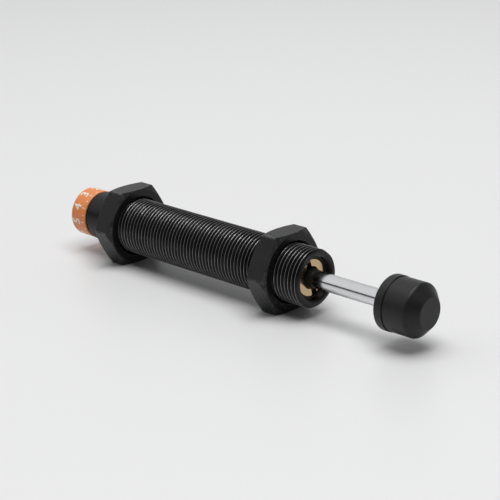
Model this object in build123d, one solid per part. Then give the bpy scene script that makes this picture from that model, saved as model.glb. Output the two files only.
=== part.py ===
from build123d import *
import os
from math import cos, floor, pi, radians, tan

# Hydraulic shock absorber with a threaded body and two mounting nuts, in millimetres.
# The origin is the centre of the housing's front face. +X runs out along the rod, towards
# the striking cap, and +Z is up. Behind the front face x is negative.

os.makedirs("parts", exist_ok=True)

# Housing and its thread
thread_d = 20.0
thread_pitch = 1.5
thread_depth = 0.92
thread_flank_deg = 30.0
thread_crest = 0.19
thread_length = 96.0
housing_length = 111.4
front_chamfer = 0.6
mouth_floor_lead = 0.1
mouth_floor_width = 0.65
mouth_wall_taper = 0.35
mouth_chamfer_width = 0.7
mouth_chamfer_depth = 0.45
plain_inset = 1.0
plain_chamfer = 0.5
rear_wall = 5.7
rear_chamfer = 0.4

# Coloured band round the rear neck, and the groove in front of it
band_gap_width = 1.3
band_length = 7.2
band_inset = 1.25
band_wall = 0.55
band_overhang = 0.3
band_round = 0.25

# Filling screw in the rear wall
fill_screw_d = 5.0
fill_screw_length = 4.0
fill_screw_setback = 0.3
fill_socket_af = 2.5
fill_socket_depth = 2.0
fill_seal_thickness = 1.0
fill_passage_d = 2.5

# Hex nuts
nut_af = 27.0
nut_thickness = 8.0
nut_face_inset = 0.25
nut_chamfer_deg = 30.0
nut_bore_chamfer = 0.9
nut_gap = 0.04
front_nut_setback = 9.92
rear_nut_setback = 84.27

# Rod, stroke and running fits
rod_d = 6.0
stroke = 30.0
stroke_reserve = 0.6
oil_space_share = 0.5757
rod_spigot_d = 3.0
cap_spigot_d = 4.0
rod_edge = 0.25
rod_gap = 0.03
piston_gap = 0.03
ring_gap = 0.02
rest_gap = 0.05

# How far a cutting shape reaches past the surface that it cuts
cut_margin = 1.0

# Brass retainer and the wiper behind its hole
retainer_setback = 2.14
retainer_length = 5.0
retainer_edge = 0.25
retainer_hole_d = 7.6
retainer_slot_width = 2.2
retainer_slot_depth = 1.6
retainer_slot_deg = 106.0
wiper_section = 2.0
wiper_length = 3.0
wiper_lip_reach = 1.3
wiper_lip_wall = 0.5
wiper_groove_depth = 0.5

# Rod bearing with its seal pocket, O-ring groove and rear neck
bearing_length = 12.0
bearing_neck_length = 11.0
bearing_neck_step = 0.3
bearing_plug_length = 3.0
seal_section = 2.2
seal_length = 3.4
seal_groove_depth = 2.0
seal_groove_width = 1.0
backup_thickness = 0.8
o_ring_wire_d = 1.5
o_ring_gap = 0.02
o_ring_groove_width = 2.0
o_ring_setback = 8.0

# Foam round the bearing neck
foam_end_gap = 0.3
foam_side_gap = 0.1

# Pressure tube and its base
tube_side_gap = 0.6
tube_wall = 0.9
base_thickness = 3.0
base_spigot_length = 2.0
base_hole_d = 2.5
base_notch_width = 2.0
base_notch_depth = 1.2
base_notches = 4
metering_holes = 6
metering_hole_d = 0.9
metering_first_gap = 7.0
metering_gap_ratio = 0.75
metering_turn_deg = 75.0

# Piston and what is on it
rebound_thickness = 1.0
rebound_side_gap = 0.2
piston_length = 8.0
piston_front_land = 2.4
check_ring_width = 2.0
check_ring_wall = 0.95
check_ring_split = 0.6
check_ring_float = 0.5
check_ring_seat_gap = 0.02
check_ring_flow_gap = 0.25
piston_notch_width = 1.2
piston_notches = 4
lock_nut_side_gap = 0.3
lock_nut_length = 2.5
lock_nut_flat_depth = 0.4
rod_tail = 0.3

# Return spring
spring_wire_d = 0.8
spring_side_gap = 0.6
spring_turns = 22

# Striking cap and the steel button in it
cap_length = 15.6
cap_d = 18.1
cap_lip_d = 18.5
cap_lip_length = 3.4
cap_groove_width = 0.5
cap_groove_depth = 0.3
cap_face_d = 10.7
cap_cone_length = 3.55
cap_rim_round = 1.1
cap_shoulder_round = 1.2
cap_face_round = 0.8
cap_mouth_d = 13.0
cap_mouth_depth = 1.0
insert_length = 9.0
insert_d = 10.0
insert_flange_d = 12.6
insert_flange_length = 2.0
insert_bore_depth = 7.0

# Radii and places along the axis that follow from the sizes above. The housing's bore takes
# oil_space_share of the room between the rod and the thread's root, and the wall takes the rest.
# The mouth is a counterbore, wider than the bore, with a tapered wall and a chamfered rim.
thread_r = thread_d / 2
root_r = thread_r - thread_depth
rod_r = rod_d / 2
bore_r = rod_r + oil_space_share * (root_r - rod_r)
mouth_floor_r = bore_r + mouth_floor_width
mouth_wall_r = mouth_floor_r + mouth_wall_taper
mouth_r = mouth_wall_r + mouth_chamfer_width
plain_r = thread_r - plain_inset
gap_r = plain_r - plain_chamfer
band_r = thread_r - band_inset
neck_r = band_r - band_wall
nut_face_r = nut_af / 2 - nut_face_inset
rod_hole_r = rod_r + rod_gap
spigot_r = rod_spigot_d / 2
cap_spigot_r = cap_spigot_d / 2
retainer_hole_r = retainer_hole_d / 2
wiper_r = rod_r + wiper_section
seal_r = rod_r + seal_section
tube_r = bore_r - tube_side_gap
tube_bore_r = tube_r - tube_wall
bearing_neck_r = tube_bore_r + bearing_neck_step
piston_r = tube_bore_r - piston_gap
spring_mean_r = tube_bore_r - spring_side_gap - spring_wire_d / 2
lock_nut_r = spring_mean_r - spring_wire_d / 2 - lock_nut_side_gap

housing_rear_x = -housing_length
chamber_end_x = housing_rear_x + rear_wall
band_rear_x = housing_rear_x - band_overhang
band_front_x = band_rear_x + band_length
plain_rear_x = band_front_x + band_gap_width
thread_end_x = -thread_length

retainer_front_x = -retainer_setback
retainer_rear_x = retainer_front_x - retainer_length
mouth_floor_x = retainer_front_x + mouth_floor_lead
wiper_front_x = retainer_rear_x + wiper_length
backup_rear_x = retainer_rear_x - backup_thickness
seal_rear_x = backup_rear_x - seal_length
bearing_shoulder_x = retainer_rear_x - bearing_length
neck_end_x = bearing_shoulder_x - bearing_neck_length
plug_end_x = neck_end_x - bearing_plug_length

tube_rear_x = chamber_end_x + base_thickness
spring_seat_x = tube_rear_x + base_spigot_length
rebound_front_x = plug_end_x - rest_gap
piston_front_x = rebound_front_x - rebound_thickness
piston_rear_x = piston_front_x - piston_length
lock_nut_rear_x = piston_rear_x - lock_nut_length
rod_rear_x = lock_nut_rear_x - rod_tail
ring_groove_front_x = piston_front_x - piston_front_land
ring_front_x = ring_groove_front_x - check_ring_seat_gap
ring_groove_width = check_ring_width + check_ring_float + 2 * check_ring_seat_gap

cap_rim_x = stroke + stroke_reserve
cap_front_x = cap_rim_x + cap_length
insert_rear_x = cap_rim_x + cap_mouth_depth
insert_front_x = insert_rear_x + insert_length


def turned(points):
    """A solid turned about the X axis from an outline of (x, radius) points.

    A third number in a point is the rounding of that corner of the outline.
    """
    outline = make_face(Polyline(*[point[:2] for point in points], close=True))
    for x, radius, *rounding in points:
        if rounding:
            corner = Vector(x, radius)
            nearest = min(outline.vertices(), key=lambda v: (Vector(v) - corner).length)
            outline = fillet(nearest, rounding[0])
    return revolve(outline, Axis.X)


def ring(x0, x1, inner_r, outer_r):
    """A plain tube between two places along the axis."""
    return turned([(x0, inner_r), (x1, inner_r), (x1, outer_r), (x0, outer_r)])


def bar(x0, x1, radius):
    """A plain round bar between two places along the axis."""
    low, high = min(x0, x1), max(x0, x1)
    return Pos(low, 0, 0) * extrude(Plane.YZ * Circle(radius), high - low)


def hex_bar(x0, x1, across_flats):
    """A hexagonal bar along the axis, with flats at top and bottom."""
    low, high = min(x0, x1), max(x0, x1)
    outline = RegularPolygon(across_flats / 2, 6, major_radius=False)
    return Pos(low, 0, 0) * extrude(Plane.YZ * outline, high - low)


def radial_box(x0, x1, inner_r, outer_r, width, turn_deg):
    """A block that reaches outwards from inner_r to outer_r, turned about the axis from +Y."""
    low, high = min(x0, x1), max(x0, x1)
    block = Box(high - low, outer_r - inner_r, width)
    return Rot(turn_deg, 0, 0) * (Pos((low + high) / 2, (inner_r + outer_r) / 2, 0) * block)


def thread_outline(x0, x1):
    """Points of the thread's ridges from x0 back to x1, at the crest radius at both ends."""
    flank = thread_depth * tan(radians(thread_flank_deg))
    root = thread_pitch - thread_crest - 2 * flank
    turns = floor((x0 - x1 - thread_crest) / thread_pitch)
    start = x0 - (x0 - x1 - turns * thread_pitch) / 2
    points = []
    for turn in range(turns):
        x = start - turn * thread_pitch - thread_crest / 2
        points += [(x, thread_r), (x - flank, root_r)]
        points += [(x - flank - root, root_r), (x - 2 * flank - root, thread_r)]
    return points


def housing():
    """Threaded tube with a wide mouth, a plain part behind the thread and a neck for the band."""
    outline = [(mouth_floor_x, bore_r), (mouth_floor_x, mouth_floor_r)]
    outline += [(-mouth_chamfer_depth, mouth_wall_r), (0, mouth_r)]
    outline += [(0, thread_r - front_chamfer), (-front_chamfer, thread_r)]
    outline += thread_outline(-front_chamfer, thread_end_x)
    outline += [(thread_end_x, thread_r), (thread_end_x - plain_inset, plain_r)]
    outline += [(plain_rear_x + plain_chamfer, plain_r), (plain_rear_x, gap_r)]
    outline += [(band_front_x, gap_r), (band_front_x, neck_r)]
    outline += [(housing_rear_x + rear_chamfer, neck_r), (housing_rear_x, neck_r - rear_chamfer)]
    outline += [(housing_rear_x, 0), (chamber_end_x, 0), (chamber_end_x, bore_r)]
    screw_end_x = housing_rear_x + fill_screw_setback + fill_screw_length
    seal_end_x = screw_end_x + fill_seal_thickness
    screw_hole = bar(housing_rear_x, seal_end_x, fill_screw_d / 2)
    passage = bar(seal_end_x - cut_margin, chamber_end_x + cut_margin, fill_passage_d / 2)
    return turned(outline) - screw_hole - passage


def end_band():
    """Sleeve round the rear neck, with rounded outer edges."""
    outline = [(band_front_x, neck_r), (band_front_x, band_r, band_round)]
    outline += [(band_rear_x, band_r, band_round), (band_rear_x, neck_r)]
    return turned(outline)


def fill_screw():
    """Headless screw with a hexagonal socket, in the rear wall."""
    rear_x = housing_rear_x + fill_screw_setback
    blank = bar(rear_x, rear_x + fill_screw_length, fill_screw_d / 2)
    return blank - hex_bar(rear_x, rear_x + fill_socket_depth, fill_socket_af)


def fill_screw_seal():
    """Soft disc that the filling screw presses on its seat."""
    rear_x = housing_rear_x + fill_screw_setback + fill_screw_length
    return bar(rear_x, rear_x + fill_seal_thickness, fill_screw_d / 2)


def hex_nut(setback):
    """Nut with both faces chamfered; its bore clears the thread's crests."""
    front_x = -setback
    rear_x = front_x - nut_thickness
    bore = thread_r + nut_gap
    mouth = bore + nut_bore_chamfer
    corner_r = nut_af / 2 / cos(pi / 6) + cut_margin
    drop = (corner_r - nut_face_r) * tan(radians(nut_chamfer_deg))
    barrel = [(rear_x, mouth), (rear_x, nut_face_r), (rear_x + drop, corner_r)]
    barrel += [(front_x - drop, corner_r), (front_x, nut_face_r), (front_x, mouth)]
    barrel += [(front_x - nut_bore_chamfer, bore), (rear_x + nut_bore_chamfer, bore)]
    return turned(barrel) & hex_bar(rear_x, front_x, nut_af)


def front_retainer():
    """Brass ring with two spanner slots, counterbored behind for the wiper."""
    outline = [(retainer_front_x, retainer_hole_r), (retainer_front_x, bore_r - retainer_edge)]
    outline += [(retainer_front_x - retainer_edge, bore_r)]
    outline += [(retainer_rear_x, bore_r), (retainer_rear_x, wiper_r)]
    outline += [(wiper_front_x, wiper_r), (wiper_front_x, retainer_hole_r)]
    body = turned(outline)
    for half_turn in (0, 180):
        body -= radial_box(
            retainer_front_x + cut_margin,
            retainer_front_x - retainer_slot_depth,
            rod_r,
            bore_r + cut_margin,
            retainer_slot_width,
            retainer_slot_deg + half_turn,
        )
    return body


def wiper_ring():
    """Scraper in the retainer, with a lip that reaches forward round the rod."""
    lip_r = rod_hole_r + wiper_lip_wall
    lip_x = wiper_front_x + wiper_lip_reach
    groove_x = wiper_front_x - wiper_groove_depth
    outline = [(retainer_rear_x, rod_hole_r), (lip_x, rod_hole_r), (groove_x, lip_r)]
    outline += [(groove_x, retainer_hole_r), (wiper_front_x, retainer_hole_r)]
    outline += [(wiper_front_x, wiper_r), (retainer_rear_x, wiper_r)]
    return turned(outline)


def backup_ring():
    """Stiff ring between the retainer and the rod seal."""
    return ring(backup_rear_x, retainer_rear_x, rod_hole_r, seal_r)


def rod_seal():
    """U-cup whose groove opens towards the oil."""
    mid_r = (rod_hole_r + seal_r) / 2
    outline = [(backup_rear_x, rod_hole_r), (backup_rear_x, seal_r)]
    outline += [(seal_rear_x, seal_r), (seal_rear_x, mid_r + seal_groove_width / 2)]
    outline += [(seal_rear_x + seal_groove_depth, mid_r)]
    outline += [(seal_rear_x, mid_r - seal_groove_width / 2), (seal_rear_x, rod_hole_r)]
    return turned(outline)


def rod_bearing():
    """Guide bush: seal pocket in front, O-ring groove outside, neck and plug behind."""
    groove_front_x = retainer_rear_x - o_ring_setback
    groove_rear_x = groove_front_x - o_ring_groove_width
    groove_r = bore_r - o_ring_wire_d - 2 * o_ring_gap
    outline = [(retainer_rear_x, seal_r), (retainer_rear_x, bore_r)]
    outline += [(groove_front_x, bore_r), (groove_front_x, groove_r)]
    outline += [(groove_rear_x, groove_r), (groove_rear_x, bore_r)]
    outline += [(bearing_shoulder_x, bore_r), (bearing_shoulder_x, bearing_neck_r)]
    outline += [(neck_end_x, bearing_neck_r), (neck_end_x, tube_bore_r)]
    outline += [(plug_end_x, tube_bore_r), (plug_end_x, rod_hole_r)]
    outline += [(seal_rear_x, rod_hole_r), (seal_rear_x, seal_r)]
    return turned(outline)


def bearing_o_ring():
    """O-ring in the bearing's outer groove."""
    x = retainer_rear_x - o_ring_setback - o_ring_groove_width / 2
    centre_r = bore_r - o_ring_wire_d / 2 - o_ring_gap
    return revolve(Pos(x, centre_r) * Circle(o_ring_wire_d / 2), Axis.X)


def accumulator_foam():
    """Foam sleeve in the space round the bearing's neck."""
    front_x = bearing_shoulder_x - foam_end_gap
    rear_x = neck_end_x + foam_end_gap
    return ring(rear_x, front_x, bearing_neck_r + foam_side_gap, bore_r - foam_side_gap)


def pressure_tube():
    """Inner cylinder, with metering holes that come closer together along the stroke."""
    tube = ring(tube_rear_x, neck_end_x, tube_bore_r, tube_r)
    x = piston_rear_x
    gap = metering_first_gap
    for hole in range(metering_holes):
        turn = Rot(hole * metering_turn_deg, 0, 0)
        drill = Pos(x, 0, 0) * extrude(Circle(metering_hole_d / 2), tube_r + cut_margin)
        tube -= turn * drill
        x -= gap
        gap *= metering_gap_ratio
    return tube


def tube_base():
    """Rear plug of the tube, with a filling hole and notches that feed the outer space."""
    outline = [(chamber_end_x, base_hole_d / 2), (chamber_end_x, bore_r), (tube_rear_x, bore_r)]
    outline += [(tube_rear_x, tube_bore_r), (spring_seat_x, tube_bore_r)]
    outline += [(spring_seat_x, base_hole_d / 2)]
    body = turned(outline)
    for notch in range(base_notches):
        body -= radial_box(
            chamber_end_x - cut_margin,
            tube_rear_x + cut_margin,
            bore_r - base_notch_depth,
            bore_r + cut_margin,
            base_notch_width,
            notch * 360 / base_notches,
        )
    return body


def rebound_washer():
    """Soft washer between the piston and the bearing's plug."""
    return ring(piston_front_x, rebound_front_x, rod_r, tube_bore_r - rebound_side_gap)


def piston():
    """Piston with a groove for the check ring and flow notches in its rear land."""
    groove_r = piston_r - check_ring_wall - check_ring_flow_gap
    groove_rear_x = ring_groove_front_x - ring_groove_width
    outline = [(piston_front_x, spigot_r), (piston_front_x, piston_r)]
    outline += [(ring_groove_front_x, piston_r), (ring_groove_front_x, groove_r)]
    outline += [(groove_rear_x, groove_r), (groove_rear_x, piston_r)]
    outline += [(piston_rear_x, piston_r), (piston_rear_x, spigot_r)]
    body = turned(outline)
    for notch in range(piston_notches):
        body -= radial_box(
            piston_rear_x - cut_margin,
            groove_rear_x + cut_margin / 2,
            groove_r,
            piston_r + cut_margin,
            piston_notch_width,
            (notch + 0.5) * 360 / piston_notches,
        )
    return body


def check_ring():
    """Split ring that floats in the piston's groove."""
    outer_r = tube_bore_r - ring_gap
    rear_x = ring_front_x - check_ring_width
    body = ring(rear_x, ring_front_x, outer_r - check_ring_wall, outer_r)
    split = radial_box(
        rear_x - cut_margin, ring_front_x + cut_margin, 0, outer_r + cut_margin, check_ring_split, 90
    )
    return body - split


def piston_lock_nut():
    """Round nut with two flats, behind the piston."""
    body = ring(lock_nut_rear_x, piston_rear_x, spigot_r, lock_nut_r)
    across_flats = 2 * (lock_nut_r - lock_nut_flat_depth)
    flats = Box(2 * lock_nut_length + cut_margin, 2 * lock_nut_r + cut_margin, across_flats)
    return body & (Pos(piston_rear_x, 0, 0) * flats)


def piston_rod():
    """Rod with a thinner end through the piston and another in the cap's button."""
    spigot_front_x = insert_rear_x + insert_bore_depth
    outline = [(rod_rear_x, 0), (rod_rear_x, spigot_r - rod_edge)]
    outline += [(rod_rear_x + rod_edge, spigot_r), (piston_front_x, spigot_r)]
    outline += [(piston_front_x, rod_r), (insert_rear_x, rod_r)]
    outline += [(insert_rear_x, cap_spigot_r), (spigot_front_x - rod_edge, cap_spigot_r)]
    outline += [(spigot_front_x, cap_spigot_r - rod_edge)]
    outline += [(spigot_front_x, 0)]
    return turned(outline)


def return_spring():
    """Compression spring with both ends ground flat on their seats."""
    length = piston_rear_x - spring_seat_x
    pitch = length / spring_turns
    run = length + 2 * spring_wire_d
    path = Helix(pitch=pitch, height=run, radius=spring_mean_r)
    section = Plane(origin=path @ 0, z_dir=path % 0) * Circle(spring_wire_d / 2)
    coil = sweep(section, path=path, is_frenet=True)
    coil = Pos(spring_seat_x - spring_wire_d, 0, 0) * (Rot(0, 90, 0) * coil)
    seats = bar(spring_seat_x, piston_rear_x, tube_bore_r)
    return coil & seats


def cap_insert():
    """Steel button on the rod's front end, with a flange that anchors the cap."""
    flange_x = insert_front_x - insert_flange_length
    bore_end_x = insert_rear_x + insert_bore_depth
    outline = [(insert_rear_x, cap_spigot_r), (insert_rear_x, insert_d / 2)]
    outline += [(flange_x, insert_d / 2), (flange_x, insert_flange_d / 2)]
    outline += [(insert_front_x, insert_flange_d / 2), (insert_front_x, 0)]
    outline += [(bore_end_x, 0), (bore_end_x, cap_spigot_r)]
    return turned(outline)


def striking_cap():
    """Moulded cap: rounded rim, lip, groove, barrel and a blunt cone with a flat face."""
    barrel_r = cap_d / 2
    lip_end_x = cap_rim_x + cap_lip_length
    groove_end_x = lip_end_x + cap_groove_width
    flange_x = insert_front_x - insert_flange_length
    outline = [(cap_rim_x, cap_mouth_d / 2), (cap_rim_x, cap_lip_d / 2, cap_rim_round)]
    outline += [(lip_end_x, cap_lip_d / 2), (lip_end_x, barrel_r - cap_groove_depth)]
    outline += [(groove_end_x, barrel_r - cap_groove_depth), (groove_end_x, barrel_r)]
    outline += [(cap_front_x - cap_cone_length, barrel_r, cap_shoulder_round)]
    outline += [(cap_front_x, cap_face_d / 2, cap_face_round)]
    outline += [(cap_front_x, 0), (insert_front_x, 0)]
    outline += [(insert_front_x, insert_flange_d / 2), (flange_x, insert_flange_d / 2)]
    outline += [(flange_x, insert_d / 2), (insert_rear_x, insert_d / 2)]
    outline += [(insert_rear_x, cap_mouth_d / 2)]
    return turned(outline)


pieces = {
    "housing": housing(),
    "end_band": end_band(),
    "fill_screw": fill_screw(),
    "fill_screw_seal": fill_screw_seal(),
    "front_nut": hex_nut(front_nut_setback),
    "rear_nut": hex_nut(rear_nut_setback),
    "front_retainer": front_retainer(),
    "wiper_ring": wiper_ring(),
    "backup_ring": backup_ring(),
    "rod_seal": rod_seal(),
    "rod_bearing": rod_bearing(),
    "bearing_o_ring": bearing_o_ring(),
    "accumulator_foam": accumulator_foam(),
    "pressure_tube": pressure_tube(),
    "tube_base": tube_base(),
    "rebound_washer": rebound_washer(),
    "piston": piston(),
    "check_ring": check_ring(),
    "piston_lock_nut": piston_lock_nut(),
    "piston_rod": piston_rod(),
    "return_spring": return_spring(),
    "cap_insert": cap_insert(),
    "striking_cap": striking_cap(),
}

for node, shape in pieces.items():
    export_step(shape, f"parts/{node}.step")
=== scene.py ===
from math import asin, atan, cos, pi, radians, sin, sqrt, tan

import bmesh
import bpy
from mathutils import Matrix, Vector


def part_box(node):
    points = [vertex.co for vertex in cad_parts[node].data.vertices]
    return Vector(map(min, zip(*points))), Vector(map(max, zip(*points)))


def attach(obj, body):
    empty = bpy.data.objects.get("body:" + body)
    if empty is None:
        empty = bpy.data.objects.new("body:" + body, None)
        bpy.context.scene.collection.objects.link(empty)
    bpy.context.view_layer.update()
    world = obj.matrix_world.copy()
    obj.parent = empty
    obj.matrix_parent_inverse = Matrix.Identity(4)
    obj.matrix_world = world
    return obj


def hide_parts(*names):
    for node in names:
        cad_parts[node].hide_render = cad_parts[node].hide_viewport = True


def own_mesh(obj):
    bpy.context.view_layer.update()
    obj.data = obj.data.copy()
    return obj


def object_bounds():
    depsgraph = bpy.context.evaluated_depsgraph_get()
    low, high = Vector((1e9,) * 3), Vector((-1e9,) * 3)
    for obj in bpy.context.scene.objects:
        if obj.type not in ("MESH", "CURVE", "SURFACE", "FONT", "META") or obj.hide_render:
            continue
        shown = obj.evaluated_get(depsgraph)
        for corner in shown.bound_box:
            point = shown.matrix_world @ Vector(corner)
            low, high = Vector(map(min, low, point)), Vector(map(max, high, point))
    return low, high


# Looks of the shock absorber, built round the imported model. Sizes are in millimetres, or in
# metres where a name ends in _M, in the frame of the model: the axis is X, the housing's front
# face is at x = 0 and +Z is up.

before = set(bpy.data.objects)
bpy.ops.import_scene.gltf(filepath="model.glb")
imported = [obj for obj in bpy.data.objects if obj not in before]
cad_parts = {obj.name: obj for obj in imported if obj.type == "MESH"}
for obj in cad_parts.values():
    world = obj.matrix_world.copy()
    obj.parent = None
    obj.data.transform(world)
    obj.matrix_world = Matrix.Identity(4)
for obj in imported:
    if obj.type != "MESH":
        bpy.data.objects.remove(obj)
cad_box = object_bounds()

MM = 0.001
COLUMNS = 96
ROD_COLUMNS = 128
ROUND_STEPS = 5
SMALL_ROUND_STEPS = 3

# In metres: points closer than the first are merged, and faces flatter than the second go
MERGE_DISTANCE = 2e-6
EMPTY_DISTANCE = 1e-7

# Thread of the housing
THREAD_PITCH = 1.5
THREAD_DEPTH = 0.92
THREAD_CREST = 0.19
THREAD_FLANK_DEG = 30.0
THREAD_EDGE = 0.035
THREAD_ROOT_ROUND = 0.09
THREAD_LENGTH = 96.0
FRONT_CHAMFER = 0.6

# Mouth of the housing, from the retainer out to its flat rim
MOUTH_GROOVE_DEPTH = 0.7
MOUTH_GROOVE_WIDTH = 0.15
MOUTH_FLOOR_LEAD = 0.1
MOUTH_FLOOR_WIDTH = 0.65
MOUTH_WALL_TAPER = 0.35
MOUTH_CHAMFER_WIDTH = 0.7
MOUTH_CHAMFER_DEPTH = 0.45
MOUTH_EDGE_ROUND = 0.12
MOUTH_FLOOR_ROUND = 0.1
MOUTH_GROOVE_ROUND = 0.05

# Plain part, neck, chamber and screw hole behind the thread
PLAIN_INSET = 1.0
PLAIN_CHAMFER = 0.5
PLAIN_ROUND = 0.12
BAND_GAP_WIDTH = 1.3
BAND_GAP_FLOOR = 0.5
BAND_GAP_ROUND = 0.15
NECK_EDGE = 0.4
NECK_ROUND = 0.12
CHAMBER_WALL = 5.7
SCREW_HOLE_D = 5.0
SCREW_HOLE_DEPTH = 5.3
SCREW_HOLE_CHAMFER = 0.2
PASSAGE_D = 2.5

# Band round the neck, with a plain scale printed on it
BAND_WALL = 0.55
BAND_ROUND = 0.28
BAND_INNER_ROUND = 0.1
DIGIT_HEIGHT = 3.6
DIGIT_COUNT = 10
DIGIT_BOLDNESS = 0.018
DIGIT_STRIP = 0.35
DIGIT_MARGIN = 0.5
FIRST_DIGIT_DEG = 9.0
PRINT_THICKNESS = 0.03
PRINT_SINK = 0.01
TICK_WIDTH = 0.28
TICK_LENGTHS = (1.5, 0.8)
TICK_MARGIN = 0.25

# Hex nuts
NUT_CHAMFER_DEG = 30.0
NUT_FACE_INSET = 0.25
NUT_BORE_GAP = 0.04
NUT_BORE_CHAMFER = 0.9
NUT_CORNER_ROUND = 0.45
NUT_EDGE = 0.09
NUT_WORN_CORNER = 0.22
NUT_CONE_WEAR = 0.55

# Filling screw. The edge of its socket is a list of (depth, how much wider it is there)
SOCKET_AF = 2.5
SOCKET_DEPTH = 2.0
SOCKET_EDGE = ((0.0, 0.08), (0.05, 0.02), (0.12, 0.0))
SOCKET_CORNER_ROUND = 0.08
SOCKET_TIP = 0.3
SCREW_EDGE = 0.35

# Brass retainer and wiper
RETAINER_HOLE_D = 7.6
SLOT_WIDTH = 2.2
SLOT_DEPTH = 1.6
SLOT_DEG = 106.0
RETAINER_EDGE = 0.16
RETAINER_CHAMFER = 0.25
RETAINER_GAP = 0.02
LOBE_COLUMNS = 30
WIPER_GAP = 0.03
WIPER_LIP_WALL = 0.38
WIPER_LIP_ROUND = 0.4
WIPER_TIP_WALL = 0.12
WIPER_TIP_ROUNDS = (0.04, 0.08)
WIPER_TIP_X = 0.2
WIPER_GROOVE = 0.5
WIPER_GROOVE_INSET = 0.08
WIPER_GROOVE_ROUND = 0.06
WIPER_HEEL = 3.0
WIPER_FIT = 0.02

# Rod
ROD_SPIGOT_D = 3.0
CAP_SPIGOT_D = 4.0
ROD_EDGE = 0.25

# Striking cap
CAP_LIP_LENGTH = 3.4
CAP_GROOVE_WIDTH = 0.5
CAP_GROOVE_DEPTH = 0.22
CAP_BARREL_D = 18.1
CAP_FACE_D = 10.7
CAP_CONE_LENGTH = 3.55
CAP_MOUTH_D = 13.0
CAP_MOUTH_DEPTH = 1.0
CAP_MOUTH_ROUND = 0.35
CAP_RIM_ROUND = 1.1
CAP_LIP_ROUND = 0.18
CAP_GROOVE_ROUND = 0.1
CAP_BARREL_ROUND = 0.12
CAP_SHOULDER_ROUND = 1.2
CAP_FACE_ROUND = 0.8
CAP_FLOOR_ROUND = 0.2
INSERT_FLANGE = 2.0
INSERT_STEM_D = 10.0

# Camera at the photograph's viewing angle
CAMERA_TARGET = (-29.66, 0.0, 3.24)
CAMERA_AZIMUTH_DEG = 43.21
CAMERA_ELEVATION_DEG = 18.93
CAMERA_ROLL_DEG = -0.38
CAMERA_DISTANCE = 528.05
CAMERA_LENS = 112.38
CAMERA_SENSOR = 36.0
CAMERA_REACH_M = 30.0

# Floor sheet, with painted light that makes it lighter far away from the camera, and the dark card
FLOOR_REACH = 6000.0
FLOOR_STEPS = 8
# Painted light on the floor: distances in metres along the direction away from the camera, over
# which its colour turns lighter
FLOOR_PAINTED_LIGHT_M = (0.05, 0.75)
PAINTED_LIGHT_AWAY = (-0.685, 0.729, 0.0)
FLAG_DISTANCE = 900.0
FLAG_LOW = 40.0
FLAG_HIGH = 270.0
FLAG_HALF_ANGLE_DEG = 22.0
FLAG_TURN_DEG = 230.0
FLAG_STEPS = 24

# Room: strength of its light below and above the heights between which it changes, and areas
# of other strength, each (direction, where along it the area starts, and is full, strength)
ROOM_COLOUR = (0.99, 0.995, 1.0, 1.0)
ROOM_LOW = 0.40
ROOM_HIGH = 0.10
ROOM_HEIGHTS = (0.30, 0.62)
WINDOW = ((-0.76, -0.355, 0.545), 0.78, 0.88, 0.84)
BACK = ((-0.645, 0.69, 0.33), 0.72, 0.90, 0.64)
ROOF = ((-0.645, 0.23, 0.73), 0.88, 0.98, 0.80)
CAMERA_SIDE = ((0.685, -0.729, 0.0), 0.30, 0.65, 0.04)

# Soft box overhead
LAMP_PLACE_M = (0.08, -0.04, 1.2)
LAMP_AIM_M = (-0.03, 0.0, 0.0)
LAMP_SIZE_M = 1.0
LAMP_ENERGY = 15.2


def box_mm(node):
    """Lowest and highest corner of a node, in millimetres."""
    low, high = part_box(node)
    return low / MM, high / MM


housing_low, housing_high = box_mm("housing")
band_low, band_high = box_mm("end_band")
retainer_low, retainer_high = box_mm("front_retainer")
wiper_low, wiper_high = box_mm("wiper_ring")
rod_low, rod_high = box_mm("piston_rod")
_, piston_high = box_mm("piston")
cap_low, cap_high = box_mm("striking_cap")
insert_low, insert_high = box_mm("cap_insert")
screw_low, screw_high = box_mm("fill_screw")

thread_r = housing_high.z
root_r = thread_r - THREAD_DEPTH
bore_r = retainer_high.z
neck_r = band_high.z - BAND_WALL
rim_r = thread_r - FRONT_CHAMFER
plain_r = thread_r - PLAIN_INSET
gap_r = plain_r - PLAIN_CHAMFER
thread_rear_x = housing_high.x - THREAD_LENGTH - PLAIN_INSET
rod_r = (rod_high.z - rod_low.z) / 2
wiper_inner_r = rod_r + WIPER_GAP


# Outlines and skins

def rounded(points, steps=ROUND_STEPS):
    """A closed outline in which each corner with a third number is an arc of that radius."""
    outline = []
    for index, (x, radius, *rounding) in enumerate(points):
        corner = Vector((x, radius))
        if not rounding:
            outline.append(corner)
            continue
        before = (Vector(points[index - 1][:2]) - corner).normalized()
        after = (Vector(points[(index + 1) % len(points)][:2]) - corner).normalized()
        opening = before.angle(after)
        centre = corner + (before + after).normalized() * rounding[0] / sin(opening / 2)
        arm = corner + before * rounding[0] / tan(opening / 2) - centre
        side = 1 if before.cross(after) < 0 else -1
        for step in range(steps + 1):
            turn = Matrix.Rotation(side * (pi - opening) * step / steps, 2)
            outline.append(centre + turn @ arm)
    return outline


def even_turns(columns=COLUMNS):
    """Equal angles about the axis, from +Y towards +Z."""
    return [2 * pi * column / columns for column in range(columns)]


def skin(rows, shift=0):
    """Vertices and faces between rows of points, closed round the axis.

    With a shift, the last column meets the first one that many rows further on, as the turns
    of a screw do.
    """
    vertices = [point for row in rows for point in row]
    columns = len(rows[0])
    faces = []
    for row in range(len(rows) - 1):
        for column in range(columns):
            after, step = (column + 1, 0) if column + 1 < columns else (0, shift)
            if row + 1 + step >= len(rows):
                continue
            corners = (
                (row, column),
                (row + step, after),
                (row + 1 + step, after),
                (row + 1, column),
            )
            faces.append([r * columns + c for r, c in corners])
    return vertices, faces


def ring_points(x, radius, turns):
    """One row: points at the same place along the axis and the same radius."""
    return [(x, radius * cos(turn), radius * sin(turn)) for turn in turns]


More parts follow.
